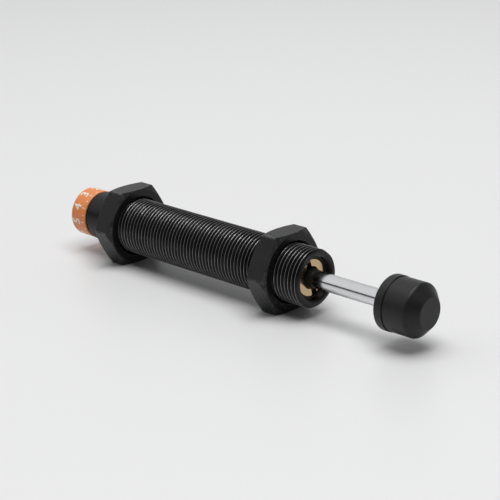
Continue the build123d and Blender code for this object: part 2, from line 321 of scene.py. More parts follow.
def lathe(outline, columns=COLUMNS):
    """Skin of a closed outline turned about the axis."""
    turns = even_turns(columns)
    rows = [ring_points(x, radius, turns) for x, radius in outline]
    return skin(rows + rows[:1])


def piece(name, parts, body, material, replaced=(), sharp_deg=38.0):
    """An object from one or more skins, with merged points, on its body and with its material."""
    mesh = bpy.data.meshes.new(name)
    vertices, faces = [], []
    for part_vertices, part_faces in parts:
        offset = len(vertices)
        vertices += [Vector(point) * MM for point in part_vertices]
        faces += [[index + offset for index in face] for face in part_faces]
    mesh.from_pydata(vertices, [], faces)
    tidy_mesh(mesh)
    mesh.shade_smooth()
    mesh.set_sharp_from_angle(angle=radians(sharp_deg))
    mesh.materials.append(material)
    obj = bpy.data.objects.new(name, mesh)
    bpy.context.scene.collection.objects.link(obj)
    normals = obj.modifiers.new("even_normals", "WEIGHTED_NORMAL")
    normals.keep_sharp = True
    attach(obj, body)
    if replaced:
        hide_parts(*replaced)
    return obj


def tidy_mesh(mesh):
    """Merges points that coincide, drops faces without area and turns the rest outwards."""
    work = bmesh.new()
    work.from_mesh(mesh)
    bmesh.ops.remove_doubles(work, verts=work.verts, dist=MERGE_DISTANCE)
    bmesh.ops.dissolve_degenerate(work, dist=EMPTY_DISTANCE, edges=work.edges)
    bmesh.ops.recalc_face_normals(work, faces=work.faces)
    work.to_mesh(mesh)
    work.free()


# Materials

class Graph:
    """A node tree, with short calls for the nodes that the materials and the world share."""

    def __init__(self, tree):
        self.tree = tree

    def add(self, kind, **settings):
        node = self.tree.nodes.new(kind)
        for name, value in settings.items():
            setattr(node, name, value)
        return node

    def join(self, value, socket):
        """Links an output to a socket, or sets the socket to a number or a colour."""
        if isinstance(value, bpy.types.NodeSocket):
            self.tree.links.new(value, socket)
        elif isinstance(value, tuple) and len(socket.default_value) == 4:
            socket.default_value = (*value, 1.0)
        else:
            socket.default_value = value

    def math(self, operation, first, second=0.0):
        node = self.add("ShaderNodeMath", operation=operation)
        self.join(first, node.inputs[0])
        self.join(second, node.inputs[1])
        return node.outputs[0]

    def span(self, value, low, high, to_low=0.0, to_high=1.0):
        """The value's range from low to high, spread over to_low to to_high and held there."""
        node = self.add("ShaderNodeMapRange")
        for index, number in enumerate((value, low, high, to_low, to_high)):
            self.join(number, node.inputs[index])
        return node.outputs[0]

    def spread(self, noise, low, high):
        """The middle range of a noise, spread over low to high."""
        return self.span(noise, 0.3, 0.7, low, high)

    def towards(self, place, direction):
        """How far a place lies along a direction."""
        node = self.add("ShaderNodeVectorMath", operation="DOT_PRODUCT")
        self.join(place, node.inputs[0])
        self.join(direction, node.inputs[1])
        return node.outputs["Value"]


class Finish(Graph):
    """A material's node tree."""

    def __init__(self, name, **sockets):
        self.material = bpy.data.materials.new(name)
        self.material.use_nodes = True
        super().__init__(self.material.node_tree)
        self.shader = self.tree.nodes["Principled BSDF"]
        self.place = self.add("ShaderNodeTexCoord").outputs["Object"]
        self.set(**sockets)

    def set(self, **sockets):
        for name, value in sockets.items():
            self.join(value, self.shader.inputs[name.replace("_", " ")])

    def stretched(self, stretch):
        """The place on the object, with each axis scaled."""
        node = self.add("ShaderNodeMapping")
        self.join(self.place, node.inputs["Vector"])
        self.join(stretch, node.inputs["Scale"])
        return node.outputs[0]

    def noise(self, size_mm, detail=3.0, roughness=0.55, where=None, stretch=None):
        """Noise from about 0 to 1 whose features are about size_mm across."""
        node = self.add("ShaderNodeTexNoise")
        if stretch:
            where = self.stretched(stretch)
        self.join(where or self.place, node.inputs["Vector"])
        self.join(1 / (size_mm * MM), node.inputs["Scale"])
        self.join(detail, node.inputs["Detail"])
        self.join(roughness, node.inputs["Roughness"])
        return node.outputs[0]

    def blend(self, share, first, second):
        """A colour between two colours."""
        node = self.add("ShaderNodeMix", data_type="RGBA")
        self.join(share, node.inputs[0])
        self.join(first, node.inputs[6])
        self.join(second, node.inputs[7])
        return node.outputs[2]

    def axis_place(self):
        """(place along the axis, distance from the axis), in metres."""
        parts = self.add("ShaderNodeSeparateXYZ")
        self.join(self.place, parts.inputs[0])
        across = self.math("POWER", parts.outputs["Y"], 2.0)
        up = self.math("POWER", parts.outputs["Z"], 2.0)
        return parts.outputs["X"], self.math("SQRT", self.math("ADD", across, up))

    def around(self, along_share, radius_share):
        """A place that changes along the axis and outwards, and not round the axis."""
        along, radius = self.axis_place()
        node = self.add("ShaderNodeCombineXYZ")
        self.join(self.math("MULTIPLY", along, along_share), node.inputs[0])
        self.join(self.math("MULTIPLY", radius, radius_share), node.inputs[1])
        return node.outputs[0]

    def attribute(self, name):
        node = self.add("ShaderNodeAttribute", attribute_name=name)
        return node.outputs["Fac"]

    def bump(self, height, depth_mm, strength=1.0, under=None):
        """Bump of depth_mm over the height's range, on top of another bump if one is given."""
        node = self.add("ShaderNodeBump")
        self.join(strength, node.inputs["Strength"])
        self.join(depth_mm * MM, node.inputs["Distance"])
        self.join(height, node.inputs["Height"])
        if under:
            self.join(under, node.inputs["Normal"])
        self.join(node.outputs[0], self.shader.inputs["Normal"])
        return node.outputs[0]


def black_oxide(name, dark, light, polished, crest_low, crest_high):
    """Black oxide on steel: cloudy and finely blasted, and polished where it is outermost.

    crest_low and crest_high are the radii between which the surface turns to polished crests.
    """
    finish = Finish(name, Specular_IOR_Level=0.25)
    cloud = finish.noise(7.0, detail=4.0)
    grain = finish.noise(0.22, detail=2.0)
    _, radius = finish.axis_place()
    crest = finish.span(radius, crest_low * MM, crest_high * MM)
    patchy = finish.span(finish.noise(1.3, detail=4.0), 0.32, 0.68, 0.55, 1.0)
    crest = finish.math("MULTIPLY", crest, patchy)
    finish.set(Base_Color=finish.blend(crest, finish.blend(cloud, dark, light), polished))
    finish.set(Metallic=crest)
    roughness = finish.spread(cloud, 0.26, 0.38)
    finish.set(Roughness=finish.math("SUBTRACT", roughness, finish.math("MULTIPLY", crest, 0.15)))
    pits = finish.bump(grain, 0.012, 0.4)
    finish.bump(finish.noise(1.1, detail=2.0), 0.02, 0.2, under=pits)
    return finish.material


def nut_finish():
    """Black oxide over machined flats, with faint lapping marks on the end faces."""
    finish = Finish("nut_black", Specular_IOR_Level=0.22)
    cloud = finish.noise(5.0, detail=5.0, roughness=0.6)
    scuff = finish.noise(0.5, detail=3.0, stretch=(0.12, 1.0, 1.0))
    speck = finish.span(finish.noise(0.35, detail=1.0), 0.70, 0.80)
    edge = finish.attribute("wear")
    patchy = finish.span(finish.noise(1.6, detail=3.0), 0.40, 0.66, 0.08, 0.5)
    edge = finish.math("MULTIPLY", edge, patchy)
    colour = finish.blend(cloud, (0.006, 0.006, 0.0065), (0.013, 0.0132, 0.014))
    colour = finish.blend(finish.math("MULTIPLY", speck, 0.25), colour, (0.04, 0.04, 0.04))
    finish.set(Base_Color=finish.blend(edge, colour, (0.16, 0.16, 0.158)))
    roughness = finish.spread(scuff, 0.24, 0.36)
    finish.set(Roughness=finish.math("SUBTRACT", roughness, finish.math("MULTIPLY", edge, 0.12)))
    finish.set(Metallic=finish.math("MULTIPLY", edge, 0.6))
    lathe_marks = finish.noise(0.16, detail=2.0, where=finish.around(0.25, 1.0))
    marks = finish.bump(lathe_marks, 0.006, 0.35)
    finish.bump(finish.noise(0.25, detail=2.0), 0.012, 0.4, under=marks)
    return finish.material


def chrome():
    """Hard chrome, ground round the rod and polished."""
    finish = Finish("chrome", Metallic=1.0)
    lines = finish.noise(0.07, detail=3.0, where=finish.around(1.0, 0.0))
    haze = finish.noise(3.0, detail=3.0)
    colour = finish.blend(haze, (0.67, 0.675, 0.69), (0.74, 0.74, 0.75))
    finish.set(Base_Color=colour)
    finish.set(Roughness=finish.spread(lines, 0.13, 0.21))
    finish.bump(lines, 0.0015, 0.3)
    return finish.material


def turned_metal(name, dark, light, roughness, line_mm):
    """Metal with the fine rings that a turning tool leaves."""
    finish = Finish(name, Metallic=1.0)
    rings = finish.noise(line_mm, detail=3.0, where=finish.around(1.0, 1.0))
    haze = finish.noise(2.0, detail=4.0)
    finish.set(Base_Color=finish.blend(haze, dark, light))
    finish.set(Roughness=finish.spread(rings, roughness - 0.07, roughness + 0.07))
    finish.bump(rings, 0.006, 0.5)
    return finish.material


def rubber(name, dark, light, roughness, grain_mm=0.3, grain_depth=0.02):
    """Matte moulded rubber with a fine grain and a little dust."""
    finish = Finish(name, Specular_IOR_Level=0.30)
    cloud = finish.noise(4.0, detail=4.0)
    dust = finish.span(finish.noise(0.4, detail=2.0), 0.66, 0.78)
    colour = finish.blend(cloud, dark, light)
    dust = finish.math("MULTIPLY", dust, 0.2)
    finish.set(Base_Color=finish.blend(dust, colour, (0.08, 0.08, 0.08)))
    finish.set(Roughness=finish.spread(cloud, roughness - 0.06, roughness + 0.06))
    grain = finish.bump(finish.noise(grain_mm, detail=3.0), grain_depth, 0.5)
    finish.bump(finish.noise(1.6, detail=2.0), grain_depth * 1.5, 0.3, under=grain)
    return finish.material


def satin_band():
    """Orange sleeve: satin, with faint lines round it and slightly paler rubbed edges."""
    finish = Finish("band_orange", Specular_IOR_Level=0.5)
    lines = finish.noise(0.12, detail=3.0, where=finish.around(1.0, 1.0))
    cloud = finish.noise(3.0, detail=4.0)
    colour = finish.blend(cloud, (0.68, 0.20, 0.05), (0.80, 0.255, 0.072))
    paler = finish.math("MULTIPLY", finish.attribute("wear"), 0.5)
    finish.set(Base_Color=finish.blend(paler, colour, (0.88, 0.46, 0.24)))
    finish.set(Roughness=finish.spread(lines, 0.28, 0.40))
    finish.bump(lines, 0.004, 0.4)
    return finish.material


def print_ink():
    """Cream ink of the scale, thin and slightly uneven."""
    finish = Finish("scale_ink", Specular_IOR_Level=0.4)
    cloud = finish.noise(0.5, detail=4.0)
    finish.set(Base_Color=finish.blend(cloud, (0.80, 0.70, 0.58), (0.92, 0.85, 0.74)))
    finish.set(Roughness=finish.spread(cloud, 0.45, 0.6))
    finish.bump(cloud, 0.004, 0.4)
    return finish.material


def plain_seal(name, dark, light, roughness):
    """Stiff seal plastic with faint flow marks."""
    finish = Finish(name, Specular_IOR_Level=0.4)
    cloud = finish.noise(1.5, detail=3.0)
    finish.set(Base_Color=finish.blend(cloud, dark, light))
    finish.set(Roughness=finish.spread(cloud, roughness - 0.05, roughness + 0.05))
    finish.bump(finish.noise(0.3, detail=2.0), 0.008, 0.4)
    return finish.material


def foam_finish():
    """Closed-cell foam: small bubbles in its skin, with painted shade that darkens their pits."""
    finish = Finish("foam", Specular_IOR_Level=0.3)
    cells = finish.add("ShaderNodeTexVoronoi")
    finish.join(finish.place, cells.inputs["Vector"])
    finish.join(1 / (0.5 * MM), cells.inputs["Scale"])
    depth = finish.span(cells.outputs["Distance"], 0.0, 0.6)
    # Painted shade: the colour is darker where the bump sinks into the bubbles' pits
    finish.set(Base_Color=finish.blend(depth, (0.05, 0.05, 0.055), (0.13, 0.13, 0.14)))
    finish.set(Roughness=0.9)
    finish.bump(depth, 0.08, 0.7)
    return finish.material


thread_black = black_oxide(
    "thread_black", (0.0035, 0.0035, 0.0038), (0.007, 0.007, 0.0075), (0.86, 0.86, 0.87),
    thread_r - 0.11, thread_r - 0.02,
)
nut_black = nut_finish()
orange = satin_band()
ink = print_ink()
chromed = chrome()
brass = turned_metal("brass", (0.50, 0.355, 0.21), (0.58, 0.43, 0.26), 0.20, 0.09)
bronze = turned_metal("bronze", (0.50, 0.32, 0.16), (0.62, 0.42, 0.22), 0.36, 0.12)
steel = turned_metal("steel", (0.46, 0.46, 0.47), (0.60, 0.60, 0.61), 0.30, 0.12)
dark_steel = turned_metal("screw_steel", (0.16, 0.16, 0.165), (0.24, 0.24, 0.245), 0.38, 0.15)
spring_steel = turned_metal("spring_steel", (0.30, 0.30, 0.31), (0.42, 0.42, 0.43), 0.34, 0.2)
urethane = rubber("urethane", (0.009, 0.009, 0.0098), (0.014, 0.014, 0.015), 0.42)
seal_rubber = rubber("seal_rubber", (0.008, 0.008, 0.008), (0.014, 0.014, 0.014), 0.55, 0.2, 0.008)
seal_plastic = plain_seal("seal_plastic", (0.74, 0.72, 0.67), (0.82, 0.81, 0.77), 0.5)
foam = foam_finish()


# Threaded housing

def thread_profile():
    """(distance from the crest's middle, radius) of one turn, going from -half to +half pitch."""
    flank = THREAD_DEPTH * tan(radians(THREAD_FLANK_DEG))
    crest = THREAD_CREST / 2
    foot = crest + flank
    half = [
        (crest - THREAD_EDGE / 2, thread_r),
        (crest + THREAD_EDGE, thread_r - THREAD_EDGE * 1.2),
        (foot - THREAD_ROOT_ROUND, root_r + THREAD_ROOT_ROUND * 1.35),
        (foot + THREAD_ROOT_ROUND / 2, root_r + THREAD_ROOT_ROUND / 5),
    ]
    points = [(-distance, radius) for distance, radius in reversed(half)] + half
    return points + [(THREAD_PITCH / 2, root_r)]


def thread_radius(x, turn):
    """Radius of the screw's surface at a place along the axis and an angle round it."""
    profile = thread_profile()
    first = profile[0][0]
    offset = (x - THREAD_PITCH * turn / (2 * pi) - first) % THREAD_PITCH + first
    points = profile + [(profile[0][0] + THREAD_PITCH, profile[0][1])]
    for (x0, r0), (x1, r1) in zip(points, points[1:]):
        if x0 <= offset <= x1:
            return r0 + (r1 - r0) * (offset - x0) / (x1 - x0)
    return root_r


def thread_envelope(x):
    """Largest radius at a place along the axis: the chamfers in front of and behind the thread."""
    return min(thread_r, rim_r - x, plain_r + x - thread_rear_x)


def thread_rows(turns):
    """Rows of the screw surface, from the plain part to the rim. Each row follows the helix.

    The rows start a turn and a half behind the thread and run on past the rim. What lies
    beyond either end is drawn back to it.
    """
    profile = thread_profile()
    pitches = int((housing_high.x - thread_rear_x) / THREAD_PITCH) + 3
    rows = []
    for pitch in range(pitches):
        for offset, _ in profile:
            start = thread_rear_x + (pitch - 1.5) * THREAD_PITCH + offset
            row = []
            for turn in turns:
                x = start + THREAD_PITCH * turn / (2 * pi)
                x = min(max(x, thread_rear_x), housing_high.x)
                radius = min(thread_radius(x, turn), thread_envelope(x))
                row.append((x, radius * cos(turn), radius * sin(turn)))
            rows.append(row)
    return rows, len(profile)


def mouth_outline():
    """Chamfered edge of the flat rim, tapered wall, floor and the groove round the retainer."""
    floor_x = retainer_high.x + MOUTH_FLOOR_LEAD
    floor_r = bore_r + MOUTH_FLOOR_WIDTH
    wall_r = floor_r + MOUTH_WALL_TAPER
    return [
        (housing_high.x, wall_r + MOUTH_CHAMFER_WIDTH, MOUTH_EDGE_ROUND),
        (housing_high.x - MOUTH_CHAMFER_DEPTH, wall_r, MOUTH_EDGE_ROUND),
        (floor_x, floor_r, MOUTH_FLOOR_ROUND),
        (floor_x, bore_r + MOUTH_GROOVE_WIDTH, MOUTH_GROOVE_ROUND),
        (floor_x - MOUTH_GROOVE_DEPTH, bore_r),
    ]


def build_housing():
    """Housing: helical thread outside, stepped mouth in front, plain part and neck behind."""
    turns = even_turns()
    rows, points_per_turn = thread_rows(turns)
    thread = skin(rows, shift=points_per_turn)
    chamber_end = housing_low.x + CHAMBER_WALL
    hole_end = housing_low.x + SCREW_HOLE_DEPTH
    gap_front_x = band_high.x + BAND_GAP_WIDTH
    inner = rounded([(housing_high.x, rim_r)] + mouth_outline() + [
        (chamber_end, bore_r),
        (chamber_end, PASSAGE_D / 2),
        (hole_end, PASSAGE_D / 2),
        (hole_end, SCREW_HOLE_D / 2),
        (housing_low.x + SCREW_HOLE_CHAMFER, SCREW_HOLE_D / 2),
        (housing_low.x, SCREW_HOLE_D / 2 + SCREW_HOLE_CHAMFER),
        (housing_low.x, neck_r - NECK_EDGE, NECK_ROUND),
        (housing_low.x + NECK_EDGE, neck_r, NECK_ROUND),
        (gap_front_x - BAND_GAP_FLOOR, neck_r),
        (gap_front_x, gap_r, BAND_GAP_ROUND),
        (gap_front_x + PLAIN_CHAMFER, plain_r, PLAIN_ROUND),
        (thread_rear_x, plain_r),
    ], steps=SMALL_ROUND_STEPS)
    rim = []
    for turn in turns:
        radius = min(thread_radius(housing_high.x, turn), rim_r)
        rim.append((housing_high.x, radius * cos(turn), radius * sin(turn)))
    inside = skin([rim] + [ring_points(x, radius, turns) for x, radius in inner[1:]])
    piece("housing_skin", [thread, inside], "body", thread_black, ["housing"])


# Hex nuts

def hex_radius(turn, across_flats, corner_round):
    """Distance from the axis to a hexagon with rounded corners and flats above and below."""
    to_flat = (turn - pi / 2 + pi / 6) % (pi / 3) - pi / 6
    to_corner = pi / 6 - abs(to_flat)
    centre = (across_flats / 2 - corner_round) / cos(pi / 6)
    arc_ends = atan(corner_round * sin(pi / 6) / (centre + corner_round * cos(pi / 6)))
    if to_corner >= arc_ends:
        return across_flats / 2 / cos(to_flat)
    return centre * cos(to_corner) + sqrt(corner_round**2 - (centre * sin(to_corner)) ** 2)


def hex_turns():
    """Angles for a hexagon: close together at its corners."""
    steps_deg = (0, 0.4, 0.8, 1.2, 2.4, 5, 8, 12, 16, 20, 25)
    turns = []
    for corner in range(6):
        middle = radians(60 * corner)
        turns += [middle + radians(step) for step in steps_deg]
        turns += [middle + radians(60 - step) for step in reversed(steps_deg[1:])]
        turns.append(middle + radians(30))
    return sorted(set(round(turn, 9) for turn in turns))


def build_nut(node):
    """One nut: flats with rounded corners, cone chamfers on both faces, chamfered bore.

    Half of its outline is a list of places, each (depth under the end face, radius) at an
    angle. Shares of NUT_EDGE ease the edges at the bore, on the face and at the corners.
    """
    low, high = box_mm(node)
    across_flats = high.z - low.z
    face_r = across_flats / 2 - NUT_FACE_INSET
    bore = thread_r + NUT_BORE_GAP
    mouth = bore + NUT_BORE_CHAMFER
    slope = tan(radians(NUT_CHAMFER_DEG))
    turns = hex_turns()

    def cone(turn, inset):
        """(depth, radius) where the cone chamfer meets the hexagon, drawn in by the inset."""
        radius = hex_radius(turn, across_flats, NUT_CORNER_ROUND) - inset
        return (radius - face_r) * slope, radius

    half = [
        lambda turn: (NUT_BORE_CHAMFER, bore),
        lambda turn: (NUT_EDGE * 0.6, mouth - NUT_EDGE * 0.6),
        lambda turn: (NUT_EDGE * 0.15, mouth - NUT_EDGE * 0.1),
        lambda turn: (0.0, mouth + NUT_EDGE * 0.5),
        lambda turn: (0.0, face_r - NUT_EDGE * 1.6),
        lambda turn: (NUT_EDGE * 0.12, face_r - NUT_EDGE * 0.2),
        lambda turn: (NUT_EDGE * 0.8, face_r + NUT_EDGE),
        lambda turn: cone(turn, NUT_EDGE),
        lambda turn: (cone(turn, 0.0)[0] + NUT_EDGE * 0.35, cone(turn, NUT_EDGE * 0.2)[1]),
        lambda turn: (cone(turn, 0.0)[0] + NUT_EDGE * 1.4, cone(turn, 0.0)[1]),
    ]
    rows = []
    for end, sign, order in ((high.x, -1, half), (low.x, 1, half[::-1])):
        for place in order:
            row = []
            for turn in turns:
                depth, radius = place(turn)
                row.append((end + sign * depth, radius * cos(turn), radius * sin(turn)))
            rows.append(row)
    nut = piece(
        f"{node}_skin", [skin(rows + rows[:1])], node, nut_black, [node], sharp_deg=50
    )
    paint_nut_wear(nut.data, low.x, high.x, across_flats, face_r, slope)


def paint_nut_wear(mesh, rear_x, front_x, across_flats, face_r, slope):
    """Marks the nut's edges, where the black finish is rubbed thin."""
    wear = mesh.attributes.new("wear", "FLOAT", "POINT")
    corner_r = across_flats / 2 / cos(pi / 6)
    for vertex, value in zip(mesh.vertices, wear.data):
        x, y, z = vertex.co / MM
        radius = sqrt(y * y + z * z)
        depth = min(x - rear_x, front_x - x)
        on_cone = abs(depth - (radius - face_r) * slope) < NUT_EDGE * 0.6 and radius > face_r
        corner = radius > corner_r - NUT_WORN_CORNER
        value.value = 1.0 if corner else NUT_CONE_WEAR if on_cone else 0.0


# Band and its scale

def build_band():
    """Sleeve round the housing's neck."""
    outline = rounded([
        (band_high.x, neck_r),
        (band_high.x, band_high.z, BAND_ROUND),
        (band_low.x, band_high.z, BAND_ROUND),
        (band_low.x, neck_r, BAND_INNER_ROUND),
    ])
    band = piece("end_band_skin", [lathe(outline)], "body", orange, ["end_band"])
    wear = band.data.attributes.new("wear", "FLOAT", "POINT")
    for vertex, value in zip(band.data.vertices, wear.data):
        from_end = min(band_high.x - vertex.co.x / MM, vertex.co.x / MM - band_low.x)
        value.value = 1.0 if from_end < BAND_ROUND * 0.6 else 0.0


def glyph_mesh(text, height):
    """Flat mesh of a plain numeral of that height in millimetres, centred and cut to bend."""
    curve = bpy.data.curves.new("numeral", "FONT")
    curve.body = text
    curve.align_x = "CENTER"
    curve.resolution_u = 4
    curve.offset = DIGIT_BOLDNESS
    obj = bpy.data.objects.new("numeral", curve)
    bpy.context.scene.collection.objects.link(obj)
    bpy.context.view_layer.update()
    mesh = bpy.data.meshes.new_from_object(obj)
    bpy.data.objects.remove(obj)
    bpy.data.curves.remove(curve)
    top = max(vertex.co.y for vertex in mesh.vertices)
    bottom = min(vertex.co.y for vertex in mesh.vertices)
    scale = height / (top - bottom)
    cut_into_strips(mesh, DIGIT_STRIP / scale)
    points = [(v.co.x * scale, (v.co.y - (top + bottom) / 2) * scale) for v in mesh.vertices]
    faces = [list(face.vertices) for face in mesh.polygons]
    bpy.data.meshes.remove(mesh)
    return points, faces


def cut_into_strips(mesh, width):
    """Cuts a flat mesh along upright lines, so that it can bend round the band."""
    work = bmesh.new()
    work.from_mesh(mesh)
    reach = max(abs(vertex.co.x) for vertex in work.verts)
    for line in range(-int(reach / width), int(reach / width) + 1):
        parts = work.verts[:] + work.edges[:] + work.faces[:]
        bmesh.ops.bisect_plane(
            work, geom=parts, dist=1e-6, plane_co=(line * width, 0, 0), plane_no=(1, 0, 0)
        )
    work.to_mesh(mesh)
    work.free()


def wrapped(points, faces, x_middle, turn):
    """A flat drawing laid round the band, its top towards the rear, as a thin closed shell."""
    vertices = []
    for lift in (0.0, PRINT_THICKNESS):
        radius = band_high.z - PRINT_SINK + lift
        for across, up in points:
            angle = turn - across / radius
            vertices.append((x_middle - up, radius * cos(angle), radius * sin(angle)))
    count = len(points)
    shell = [[index + count for index in face] for face in faces]
    shell += [list(reversed(face)) for face in faces]
    edges = {}
    for face in faces:
        for first, second in zip(face, face[1:] + face[:1]):
            edges[(first, second)] = (second, first) in edges
            if (second, first) in edges:
                edges[(second, first)] = True
    for (first, second), shared in edges.items():
        if not shared:
            shell.append([first, second, second + count, first + count])
    return vertices, shell


def build_scale():
    """Numbers 0 to 9 round the band, with a long mark at each and a short one between."""
    parts = []
    digits_x = band_low.x + BAND_ROUND + DIGIT_HEIGHT / 2 + DIGIT_MARGIN
    marks_x = band_high.x - BAND_ROUND - TICK_MARGIN
    for digit in range(DIGIT_COUNT):
        turn = 2 * pi * digit / DIGIT_COUNT + radians(FIRST_DIGIT_DEG)
        points, faces = glyph_mesh(str(digit), DIGIT_HEIGHT)
        parts.append(wrapped(points, faces, digits_x, turn))
        for step, length in enumerate(TICK_LENGTHS):
            mark_turn = turn + step * pi / DIGIT_COUNT
            half = TICK_WIDTH / 2
            corners = [(-half, 0), (half, 0), (half, length), (-half, length)]
            parts.append(wrapped(corners, [[0, 1, 2, 3]], marks_x, mark_turn))
    piece("band_scale", parts, "body", ink)


# Retainer, wiper, screw, rod and cap

def slot_wall():
    """(offset from the slot's middle, depth under the front face), from the lobe to the floor."""
    edge = RETAINER_EDGE
    wall = SLOT_WIDTH / 2
    return [
        (wall + edge, 0.0),
        (wall + edge * 0.3, edge * 0.3),
        (wall, edge),
        (wall, SLOT_DEPTH - edge),
        (wall - edge * 0.5, SLOT_DEPTH),
    ]


def retainer_columns():
    """(slot's angle, offset from its middle, depth, share of the lobe passed) of each column."""
    lobe_start = SLOT_WIDTH / 2 + RETAINER_EDGE
    columns = []
    for half_turn in (0.0, pi):
        turn = radians(SLOT_DEG) + half_turn
        columns.append((turn, 0.0, SLOT_DEPTH, 0.0))
        columns += [(turn, offset, depth, 0.0) for offset, depth in reversed(slot_wall())]
        columns += [
            (turn, lobe_start, 0.0, column / LOBE_COLUMNS) for column in range(1, LOBE_COLUMNS)
        ]
        columns += [(turn + pi, -offset, depth, 0.0) for offset, depth in slot_wall()]
    return columns


def build_retainer():
    """Brass ring with two slots for a spanner, a chamfered outer edge and a rounded hole edge."""
    hole_r = RETAINER_HOLE_D / 2
    outer_r = bore_r - RETAINER_GAP
    edge = RETAINER_EDGE
    front = [
        (hole_r, edge),
        (hole_r + edge * 0.3, edge * 0.3),
        (hole_r + edge, 0.0),
        (bore_r - RETAINER_CHAMFER * 1.15, 0.0),
        (bore_r - RETAINER_CHAMFER * 0.9, RETAINER_CHAMFER * 0.08),
        (outer_r, RETAINER_CHAMFER),
    ]
    pocket_x = wiper_low.x + WIPER_HEEL
    columns = retainer_columns()

    def row(radius, places):
        """One row round the ring, with a place along the axis for each column."""
        points = []
        for (slot_turn, offset, _, share), x in zip(columns, places):
            reach = asin(max(-1.0, min(1.0, offset / radius)))
            turn = slot_turn + reach + (pi - 2 * reach) * share
            points.append((x, radius * cos(turn), radius * sin(turn)))
        return points

    hole_row = row(hole_r, [pocket_x] * len(columns))
    front_rows = [
        row(radius, [retainer_high.x - max(depth, drop) for _, _, depth, _ in columns])
        for radius, drop in front
    ]
    back_row = row(outer_r, [retainer_low.x] * len(columns))
    pocket_rows = [
        [(x, *scaled(point, wiper_high.z)) for point in back_row]
        for x in (retainer_low.x, pocket_x)
    ]
    rows = [hole_row] + front_rows + [back_row] + pocket_rows + [hole_row]
    replaced = ["front_retainer"]
    piece("front_retainer_skin", [skin(rows)], "body", brass, replaced, sharp_deg=45)


def scaled(point, radius):
    """The point's place across the axis, moved to another radius."""
    _, y, z = point
    length = sqrt(y * y + z * z)
    return y * radius / length, z * radius / length


def build_wiper():
    """Wiper: a pointed lip round the rod, out past the retainer, a groove and a flat heel."""
    lip_r = wiper_inner_r + WIPER_LIP_WALL
    hole_r = RETAINER_HOLE_D / 2
    front_x = wiper_low.x + WIPER_HEEL
    inner_round, outer_round = WIPER_TIP_ROUNDS
    outline = rounded([
        (wiper_low.x, wiper_inner_r),
        (WIPER_TIP_X, wiper_inner_r, inner_round),
        (WIPER_TIP_X, wiper_inner_r + WIPER_TIP_WALL, outer_round),
        (retainer_high.x, lip_r, WIPER_LIP_ROUND),
        (front_x - WIPER_GROOVE, lip_r, WIPER_GROOVE_ROUND),
        (front_x - WIPER_GROOVE, hole_r - WIPER_GROOVE_INSET, WIPER_GROOVE_ROUND),
        (front_x, hole_r - WIPER_FIT, WIPER_GROOVE_ROUND),
        (front_x - WIPER_FIT, wiper_high.z - WIPER_FIT),
        (wiper_low.x, wiper_high.z - WIPER_FIT),
    ], steps=SMALL_ROUND_STEPS)
    piece(
        "wiper_ring_skin", [lathe(outline)], "body", seal_rubber, ["wiper_ring"]
    )


def build_rod():
    """Rod, smooth along its running length, thinner in the piston and in the cap's button."""
    spigot_r = ROD_SPIGOT_D / 2
    cap_spigot_r = CAP_SPIGOT_D / 2
    outline = [
        (rod_low.x, 0.0),
        (rod_low.x, spigot_r - ROD_EDGE),
        (rod_low.x + ROD_EDGE, spigot_r),
        (piston_high.x, spigot_r),
        (piston_high.x, rod_r),
        (insert_low.x, rod_r),
        (insert_low.x, cap_spigot_r),
        (rod_high.x - ROD_EDGE, cap_spigot_r),
        (rod_high.x, cap_spigot_r - ROD_EDGE),
        (rod_high.x, 0.0),
    ]
    parts = [lathe(outline, ROD_COLUMNS)]
    piece("piston_rod_skin", parts, "rod", chromed, ["piston_rod"])


def build_cap():
    """Moulded cap: soft lip at the rim, groove, barrel and a blunt cone with a flat face."""
    lip_r = cap_high.z
    barrel_r = CAP_BARREL_D / 2
    groove_r = barrel_r - CAP_GROOVE_DEPTH
    lip_end = cap_low.x + CAP_LIP_LENGTH
    groove_end = lip_end + CAP_GROOVE_WIDTH
    flange_r = insert_high.z
    mouth_x = cap_low.x + CAP_MOUTH_DEPTH
    outline = rounded([
        (cap_low.x, CAP_MOUTH_D / 2, CAP_MOUTH_ROUND),
        (cap_low.x, lip_r, CAP_RIM_ROUND),
        (lip_end, lip_r, CAP_LIP_ROUND),
        (lip_end, groove_r, CAP_GROOVE_ROUND),
        (groove_end, groove_r, CAP_GROOVE_ROUND),
        (groove_end, barrel_r, CAP_BARREL_ROUND),
        (cap_high.x - CAP_CONE_LENGTH, barrel_r, CAP_SHOULDER_ROUND),
        (cap_high.x, CAP_FACE_D / 2, CAP_FACE_ROUND),
        (cap_high.x, 0.0),
        (insert_high.x, 0.0),
        (insert_high.x, flange_r),
        (insert_high.x - INSERT_FLANGE, flange_r),
        (insert_high.x - INSERT_FLANGE, INSERT_STEM_D / 2),
        (mouth_x, INSERT_STEM_D / 2),
        (mouth_x, CAP_MOUTH_D / 2, CAP_FLOOR_ROUND),
    ])
    piece("striking_cap_skin", [lathe(outline)], "rod", urethane, ["striking_cap"])


def build_screw():
    """Headless screw in the rear wall, with a hexagonal socket."""
    rear_x = screw_low.x
    outer_r = screw_high.z
    turns = hex_turns()
    rows = [
        ring_points(screw_high.x, 0.0, turns),
        ring_points(screw_high.x, outer_r, turns),
        ring_points(rear_x + SCREW_EDGE, outer_r, turns),
        ring_points(rear_x, outer_r - SCREW_EDGE, turns),
    ]
    for depth, grow in (*SOCKET_EDGE, (SOCKET_DEPTH, 0.0)):
        row = []
        for turn in turns:
            radius = hex_radius(turn, SOCKET_AF, SOCKET_CORNER_ROUND) + grow
            row.append((rear_x + depth, radius * cos(turn), radius * sin(turn)))
        rows.append(row)
    rows.append(ring_points(rear_x + SOCKET_DEPTH + SOCKET_TIP, 0.0, turns))
    piece("fill_screw_skin", [skin(rows)], "body", dark_steel, ["fill_screw"])


